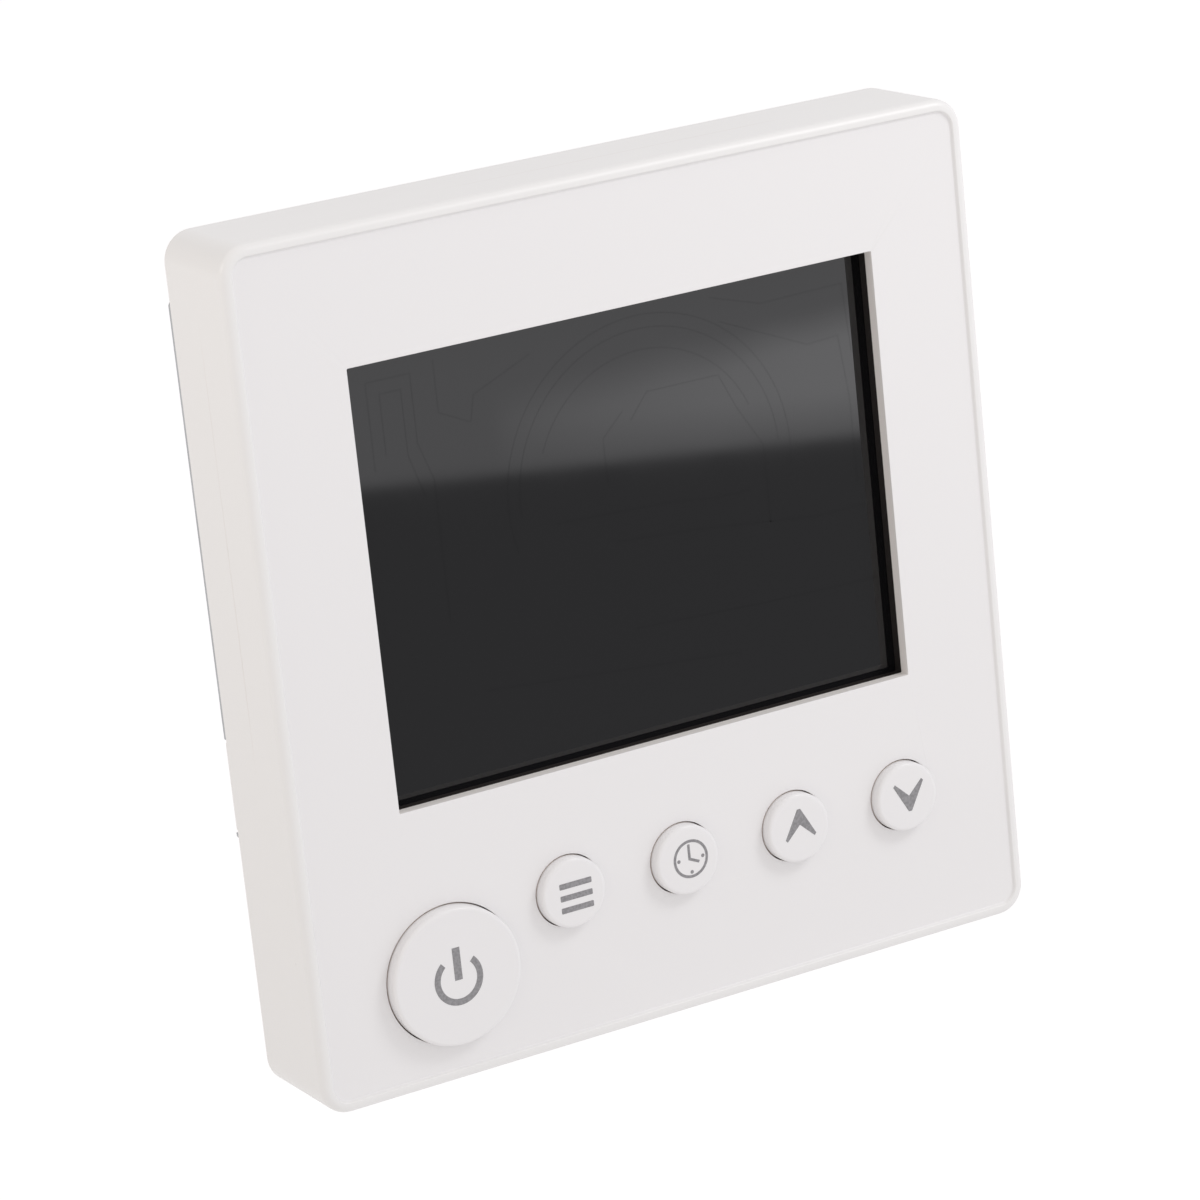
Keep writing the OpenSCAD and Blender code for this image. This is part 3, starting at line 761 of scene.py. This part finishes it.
def part_spots(draw, taken):
    """(x, z, upright) of each small part, on a loose grid."""
    spots = []
    for column in range(-7, 8):
        for row in range(-8, 9):
            x = column * GRID_X + draw.uniform(-JITTER_X, JITTER_X) * MM
            z = row * GRID_Z + draw.uniform(-JITTER_Z, JITTER_Z) * MM
            upright = draw.random() < 0.5
            if draw.random() < FILLED_SHARE and is_clear(x, z, taken, CHIP_CLEAR):
                spots.append((x, z, upright))
    return spots


def add_part(bodies, pads, spot, along, across, high):
    """A chip part with its two end caps, and the solder pads under them."""
    x, z, upright = spot
    back = BOARD_HIGH.y

    def lay(bm, start, stop, width, low, top, rounded):
        ends = ((start, -width), (stop, width))
        if upright:
            ends = ((-width, start), (width, stop))
        (x1, z1), (x2, z2) = ends
        add_block(bm, (x + x1, back + low, z + z1), (x + x2, back + top, z + z2), rounded, 1)

    lay(bodies, -along * 0.72, along * 0.72, across, CHIP_LIFT, high, CHIP_EDGE)
    for start, stop in ((-along, -along * 0.7), (along * 0.7, along)):
        lay(pads, start, stop, across, CHIP_LIFT, high, CHIP_EDGE)
    for start in (-along * 1.45, along * 0.85):
        lay(pads, start, start + along * 0.6, across * 1.15, -0.01 * MM, 0.06 * MM, 0.02 * MM)


def line_route(start, stop):
    """Straight, then at 45 degrees, without very short stretches."""
    dx, dz = stop[0] - start[0], stop[1] - start[1]
    slant = min(abs(dx), abs(dz))
    if abs(dx) > abs(dz):
        turn = (stop[0] - math.copysign(slant, dx), start[1])
    else:
        turn = (start[0], stop[1] - math.copysign(slant, dz))
    route = [start, turn, stop]
    return [point for i, point in enumerate(route)
            if i == 0 or math.dist(point, route[i - 1]) > 0.3 * MM]


def add_lines(bm, draw, spots, taken):
    """Copper lines from each part to two of its nearest neighbours, each drawn once."""
    drawn = set()
    for x, z, _ in spots:
        near = sorted(spots, key=lambda other: math.hypot(other[0] - x, other[1] - z))[1:6]
        for other in draw.sample(near, 2):
            route = line_route((x, z), other[:2])
            stretches = list(zip(route, route[1:]))
            length = sum(math.dist(start, stop) for start, stop in stretches)
            pair = frozenset(((x, z), other[:2]))
            if length < LINE_SHORTEST or pair in drawn:
                continue
            drawn.add(pair)
            marks = [Vector(start).lerp(Vector(stop), step / 8)
                     for start, stop in stretches for step in range(9)]
            if all(is_clear(mark.x, mark.y, taken, LINE_CLEAR) for mark in marks):
                # each line stands a little higher than the last, so that crossings don't flicker
                top = BOARD_HIGH.y + (0.012 + 0.0001 * len(drawn)) * MM
                add_prism(bm, stroke(route, LINE_W), BOARD_HIGH.y - 0.01 * MM, top)


def board_details(body_material, tin, copper):
    """Chip resistors and capacitors on their pads, with copper lines between them."""
    draw = random.Random(11)
    taken = board_keep_outs()
    spots = part_spots(draw, taken)
    bodies, pads, lines = bmesh.new(), bmesh.new(), bmesh.new()
    for spot in spots:
        along, across, high = CHIP_LENGTH, CHIP_WIDTH, draw.choice(CHIP_HEIGHTS) * MM
        if draw.random() < BIG_SHARE:
            along, across = along * 1.9, across * 2.2
        add_part(bodies, pads, spot, along, across, high)
    add_lines(lines, draw, spots, taken)
    piece("board_parts", bodies, body_material, FRONT)
    piece("board_pads", pads, tin, FRONT)
    piece("board_traces", lines, copper, FRONT)


# ---------------------------------------------------------------- materials
def display_material(gloss=0.5, name="display_film_material"):
    """Black glossy film, with a very slight wave and a little dust."""
    shader = Shader(name, (0.006, 0.006, 0.007), 0.035)
    shader.set("Specular IOR Level", gloss)
    shader.roughen(shader.noise(90, 3), 0.03, 0.042)
    shader.bump(shader.noise(25, 2), 0.01 * MM, 0.15)
    dust = shader.cells(60).outputs["Distance"]
    shader.tint(shader.spread(dust, 0.005, 0.009, 0.7, 0), (0.35, 0.35, 0.36))
    return shader.material


def gasket_material():
    shader = Shader("gasket_foam", (0.018, 0.0145, 0.0135), 0.7)
    shader.set("Specular IOR Level", 0.25)
    grain = shader.noise(3500, 3)
    shader.tint(shader.spread(grain, 0.45, 0.7, 0, 0.5), (0.028, 0.023, 0.0215))
    shader.bump(grain, 0.02 * MM)
    return shader.material


def ink_material():
    shader = Shader("printed_ink", (0.285, 0.28, 0.29), 0.5)
    grain = shader.noise(3200, 2)
    shader.tint(shader.spread(grain, 0.38, 0.62, 0, 0.6), (0.17, 0.166, 0.174))
    shader.bump(grain, 0.003 * MM)
    return shader.material


def housing_material():
    """Satin white, with the faint line that the mould leaves on the left side and the top: a
    shallow dent, darkened with painted shade.
    """
    shader = moulded("housing_plastic", HOUSING_COLOUR, 0.36)
    x, y, z = shader.axes()
    away = shader.math("ABSOLUTE", shader.math("SUBTRACT", y, SEAM_Y))
    wander = shader.spread(shader.noise(40, 2), 0.3, 0.7, -0.05 * MM, 0.05 * MM)
    line = shader.spread(shader.math("ADD", away, wander), 0.02 * MM, 0.14 * MM, 1, 0)

    def between(source, middle, reach, fade):
        off = shader.math("ABSOLUTE", shader.math("SUBTRACT", source, middle))
        return shader.spread(off, reach - fade, reach, 1, 0)

    left = shader.math("LESS_THAN", x, MM - FACE_W / 2)
    top = shader.math("GREATER_THAN", z, FACE_H / 2 - MM)
    on_left = shader.math("MULTIPLY", left, between(z, 14 * MM, 24 * MM, 8 * MM))
    on_top = shader.math("MULTIPLY", top, between(x, 5 * MM, 22 * MM, 6 * MM))
    faint = shader.math("MULTIPLY", line, shader.math("ADD", on_left, on_top, clamp=True))
    # painted shade: darkens and warms the mould line's dent
    shader.tint(shader.math("MULTIPLY", faint, 0.2), (0.62, 0.5, 0.46))
    shader.bump(shader.math("MULTIPLY", faint, -1), 0.02 * MM)
    return shader.material


def make_front_unit():
    housing(housing_material())
    # the walls of the panel's holes and of the caps below their faces get painted glow
    face_panel(paint_glow_on_walls(moulded("panel_plastic", PANEL_COLOUR, 0.3, depth=0.002 * MM,
                                  gloss=0.38), PANEL_WALL_GLOW_COLOUR))
    gasket(gasket_material())
    display_film(display_material())
    display_traces(display_material(0.43, "display_trace_material"))
    cap_material = paint_glow_on_walls(moulded("cap_plastic", KEY_COLOUR, 0.3, depth=0.0015 * MM,
                                      gloss=0.32), CAP_WALL_GLOW_COLOUR)
    ink = ink_material()
    for name in KEY_NAMES:
        key_cap(name, cap_material)
        printed_symbol(name, ink)


# ---------------------------------------------------------------- CAD nodes kept as they are
def finish_node(name, material, bevel=0.12 * MM):
    """Gives a CAD node its material, slightly rounded edges and smooth round faces."""
    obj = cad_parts[name]
    obj.data.materials.clear()
    obj.data.materials.append(material)
    for polygon in obj.data.polygons:
        polygon.use_smooth = True
    weld = obj.modifiers.new("join", "WELD")
    weld.merge_threshold = 0.001 * MM
    if bevel:
        edges = obj.modifiers.new("round_edges", "BEVEL")
        edges.width = bevel
        edges.segments = 2
        edges.limit_method = "ANGLE"
        edges.angle_limit = math.radians(BEVEL_ANGLE)
        edges.use_clamp_overlap = True
    normals = obj.modifiers.new("even_normals", "WEIGHTED_NORMAL")
    normals.keep_sharp = True


def second_material(name, material, chosen):
    """Gives the faces of a CAD node whose centre is chosen another material."""
    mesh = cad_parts[name].data
    mesh.materials.append(material)
    for polygon in mesh.polygons:
        if chosen(polygon.center):
            polygon.material_index = 1


def dress_nodes():
    """Materials for the nodes that stay as the CAD drew them."""
    steel = metal("zinc_steel", (0.62, 0.62, 0.64), 0.34).material
    # galvanised steel, made darker than the screws' steel as painted shade for its edge that sits
    # in shadow behind the housing
    plate = metal("shaded_galvanised_sheet", (0.42, 0.425, 0.44), 0.36, (1, 1, 0.15)).material
    brass = metal("nickelled_brass", (0.7, 0.62, 0.42), 0.3).material
    gold = metal("gold_plating", (0.83, 0.66, 0.33), 0.22).material
    board = moulded("board_mask", (0.02, 0.13, 0.05), 0.3, 900, 0.01 * MM, 0.3).material
    black = moulded("black_nylon", (0.028, 0.028, 0.028), 0.45).material
    epoxy = moulded("black_epoxy", (0.03, 0.03, 0.034), 0.5, 3500, 0.008 * MM).material
    looks = {
        "front_glass": moulded("front_glass_material", (0.05, 0.053, 0.055), 0.08),
        "rear_glass": moulded("rear_glass_material", (0.07, 0.075, 0.08), 0.08),
        "light_guide": moulded("acrylic_guide", (0.7, 0.76, 0.82), 0.1),
        "reflector_sheet": moulded("reflector_film", (0.9, 0.9, 0.9), 0.6),
        "backlight_leds": moulded("led_strip", (0.85, 0.72, 0.3), 0.35),
        "zebra_strip": moulded("zebra_rubber_material", (0.5, 0.36, 0.4), 0.55),
        "lcd_holder": moulded("natural_nylon", (0.8, 0.78, 0.72), 0.4),
        "air_sensor": moulded("sensor_epoxy", (0.12, 0.05, 0.02), 0.25),
        "power_box": moulded("box_plastic", (0.78, 0.775, 0.75), 0.38, 2200, 0.008 * MM),
        "transformer_core": moulded("fired_ferrite", (0.06, 0.06, 0.066), 0.5),
        "transformer_bobbin": moulded("phenolic_bobbin", (0.05, 0.048, 0.046), 0.45),
        "transformer_coil": moulded("winding_tape", (0.75, 0.5, 0.06), 0.3),
        "relay": moulded("relay_case", (0.03, 0.12, 0.36), 0.28),
        "smoothing_capacitor": moulded("shrink_sleeve", (0.03, 0.035, 0.09), 0.25),
        "safety_capacitor": moulded("capacitor_case", (0.75, 0.45, 0.06), 0.35),
        "varistor": moulded("dipped_epoxy", (0.05, 0.14, 0.4), 0.22),
        "fuse": moulded("fuse_case", (0.1, 0.055, 0.04), 0.35),
        "terminal_block": moulded("terminal_nylon", (0.03, 0.22, 0.09), 0.4),
    }
    for name, shader in looks.items():
        finish_node(name, shader.material)
    shared = {steel: ["board_screws", "box_screws", "terminal_screws", "switch_covers"],
              plate: ["mounting_plate"], brass: ["terminal_cages"], gold: ["header_pins"],
              board: ["main_board", "power_board"], epoxy: ["control_chip", "driver_chip"],
              black: (["board_socket", "header_strip"]
                      + [f"{key}_{part}" for key in KEY_NAMES for part in ("plunger", "switch")])}
    for material, names in shared.items():
        for name in names:
            finish_node(name, material, 0 if material == board else 0.08 * MM)
    for name in ("control_chip", "driver_chip"):
        second_material(name, steel, lambda spot: spot.y < BOARD_HIGH.y + LEG_T)
    bead_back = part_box("air_sensor")[0].y + BEAD_DEPTH
    second_material("air_sensor", steel, lambda spot: spot.y > bead_back)
    ceramic = moulded("part_ceramic", (0.16, 0.11, 0.075), 0.4, 3500, 0.004 * MM, 0.4).material
    copper = moulded("masked_copper", (0.045, 0.24, 0.09), 0.28, 900, 0.004 * MM, 0.2).material
    board_details(ceramic, steel, copper)


# ---------------------------------------------------------------- stage
VIEW_TURN = 28.38
VIEW_PITCH = 15.75
VIEW_ROLL = -6.056
AIM = Vector((-5.55 * MM, RIM_Y, 1.34 * MM))
DISTANCE = 490.55 * MM
LENS = 144.48
FLOOR_Z = -0.30
CARD_AWAY = 0.8
CARD_HALF = 0.22
CARD_LOW = -0.33
CARD_HIGH = -0.08
CARD_EDGE = -0.1845
GLOW_TOP = -0.161
GLOW_SLANT = 0.13
GLOW_DIM = 0.5
GLOW_ROOM = 1.12
GLOW_WINDOW = 1.15
GLOW_LEFT = -32 * MM
GLOW_RIGHT = 50 * MM
GLOW_SOFT = 5 * MM
CARD_SOFT = 1.5 * MM
CARD_RIPPLE = 3 * MM
FLOOR_GLOW = 0.3
FLOOR_SIZE = 12
KEY_LIGHT = (0.2, -0.2, 0.24)
SIDE_LIGHT = (-0.2, -0.02, 0.11)
SIDE_AIM = (-0.04, 0, 0)
WORLD_LEFT = (0.835, 0.80, 0.775)
WORLD_RIGHT = (0.915, 0.915, 0.94)
WORLD_SLOPE = (0, -0.08, -0.15)


def make_camera():
    """The view of the picture: from the left and above, with a slight roll."""
    turn, pitch, roll = (math.radians(a) for a in (VIEW_TURN, VIEW_PITCH, VIEW_ROLL))
    ahead = Vector((math.sin(turn) * math.cos(pitch), math.cos(turn) * math.cos(pitch),
                    -math.sin(pitch)))
    level = Vector((math.cos(turn), -math.sin(turn), 0))
    lifted = level.cross(ahead)
    right = level * math.cos(roll) + lifted * math.sin(roll)
    up = right.cross(ahead)
    data = bpy.data.cameras.new("camera")
    data.lens = LENS
    data.sensor_width = 36
    data.clip_start = 0.01
    data.clip_end = 50
    camera = bpy.data.objects.new("camera", data)
    rotation = Matrix((right, up, -ahead)).transposed().to_4x4()
    camera.matrix_world = Matrix.Translation(AIM - ahead * DISTANCE) @ rotation
    bpy.context.scene.collection.objects.link(camera)
    bpy.context.scene.camera = camera


def area_light(name, place, target, size, power, colour=(1, 1, 1)):
    data = bpy.data.lights.new(name, "AREA")
    data.shape = "RECTANGLE"
    data.size, data.size_y = size
    data.energy = power
    data.color = colour
    lamp = bpy.data.objects.new(name, data)
    lamp.location = place
    lamp.rotation_euler = (Vector(target) - Vector(place)).to_track_quat("-Z", "Y").to_euler()
    bpy.context.scene.collection.objects.link(lamp)


def make_floor():
    """A wide pale floor, well below the thermostat, that reads as a white background."""
    bm = bmesh.new()
    bmesh.ops.create_grid(bm, x_segments=2, y_segments=2, size=FLOOR_SIZE,
                          matrix=Matrix.Translation((0, 0, FLOOR_Z)))
    floor = mesh_object("floor", bm)
    shader = Shader("pale_floor", (0.93, 0.93, 0.93), 0.9)
    shader.tint(shader.spread(shader.noise(3, 2), 0.3, 0.7, 0, 0.04), (0.8, 0.8, 0.8))
    shader.set("Specular IOR Level", 0.1)
    shader.set("Emission Color", (1, 1, 1, 1))
    shader.set("Emission Strength", FLOOR_GLOW)
    floor.data.materials.append(shader.material)
    floor.visible_diffuse = False


def studio_card():
    """A glowing card that only reflections see, where the display and the panel mirror it.

    It stands for the room: dim below, and brighter above a level edge, most of all to the right.
    """
    turn = math.radians(VIEW_TURN)
    away = Vector((math.sin(turn), -math.cos(turn), 0)) * CARD_AWAY
    side = Vector((math.cos(turn), math.sin(turn), 0)) * CARD_HALF
    bm = bmesh.new()
    corners = [away + side * s + Vector((0, 0, z))
               for s, z in ((-1, CARD_LOW), (1, CARD_LOW), (1, CARD_HIGH), (-1, CARD_HIGH))]
    bm.faces.new([bm.verts.new(corner) for corner in corners])
    card = mesh_object("studio_card", bm)
    shader = Shader("studio_card", (0, 0, 0), 1)
    shader.set("Specular IOR Level", 0)
    shader.set("Emission Color", (0.985, 0.98, 1, 1))
    x, y, z = shader.axes()
    across = shader.math("ADD", shader.math("MULTIPLY", x, math.cos(turn)),
                         shader.math("MULTIPLY", y, math.sin(turn)))
    ripple = shader.spread(shader.noise(14, 3), 0.3, 0.7, -CARD_RIPPLE, CARD_RIPPLE)
    slanted = shader.math("ADD", shader.math("MULTIPLY", across, -GLOW_SLANT),
                          shader.math("ADD", z, ripple))
    room = shader.spread(z, CARD_EDGE - CARD_SOFT, CARD_EDGE + CARD_SOFT, 0, GLOW_ROOM)
    right = shader.math("POWER", shader.spread(across, GLOW_LEFT, GLOW_RIGHT, 0, 1), 0.5)
    under = shader.spread(slanted, GLOW_TOP - GLOW_SOFT, GLOW_TOP + GLOW_SOFT, 1, 0)
    over = shader.spread(z, CARD_EDGE - 2 * MM, CARD_EDGE + 13 * MM, 0, 1)
    window = shader.math("MULTIPLY", shader.math("MULTIPLY", right, under), over)
    glow = shader.math("ADD", shader.math("MULTIPLY", window, GLOW_WINDOW), room)
    shader.link(shader.math("ADD", glow, GLOW_DIM), shader.bsdf.inputs["Emission Strength"])
    card.data.materials.append(shader.material)
    card.visible_camera = False
    card.visible_diffuse = False
    card.visible_shadow = False


def make_world():
    """Light from all round, a little warmer from the left, and less of it from above and behind."""
    world = bpy.data.worlds.new("studio")
    world.use_nodes = True
    tree = world.node_tree
    coords = tree.nodes.new("ShaderNodeTexCoord")
    split = tree.nodes.new("ShaderNodeSeparateXYZ")
    tree.links.new(coords.outputs["Generated"], split.inputs[0])
    share = tree.nodes.new("ShaderNodeMapRange")
    share.inputs["From Min"].default_value = -1
    tree.links.new(split.outputs["X"], share.inputs["Value"])
    mix = tree.nodes.new("ShaderNodeMix")
    mix.data_type = "RGBA"
    mix.inputs["A"].default_value = (*WORLD_LEFT, 1)
    mix.inputs["B"].default_value = (*WORLD_RIGHT, 1)
    tree.links.new(share.outputs["Result"], mix.inputs["Factor"])
    background = tree.nodes["Background"]
    tree.links.new(mix.outputs["Result"], background.inputs["Color"])
    slope = tree.nodes.new("ShaderNodeVectorMath")
    slope.operation = "DOT_PRODUCT"
    slope.inputs[1].default_value = WORLD_SLOPE
    tree.links.new(coords.outputs["Generated"], slope.inputs[0])
    level = tree.nodes.new("ShaderNodeMath")
    level.inputs[1].default_value = 1
    tree.links.new(slope.outputs["Value"], level.inputs[0])
    tree.links.new(level.outputs[0], background.inputs["Strength"])
    bpy.context.scene.world = world


def make_light():
    make_world()
    area_light("key_light", KEY_LIGHT, (0, 0, 0), (0.12, 0.12), 0.33)
    area_light("side_light", SIDE_LIGHT, SIDE_AIM, (0.05, 0.05), 0.057, (1, 0.95, 0.9))
    studio_card()
    bpy.context.scene.view_settings.view_transform = "Standard"


make_camera()
make_light()
make_floor()
make_front_unit()
dress_nodes()

bpy.context.view_layer.update()
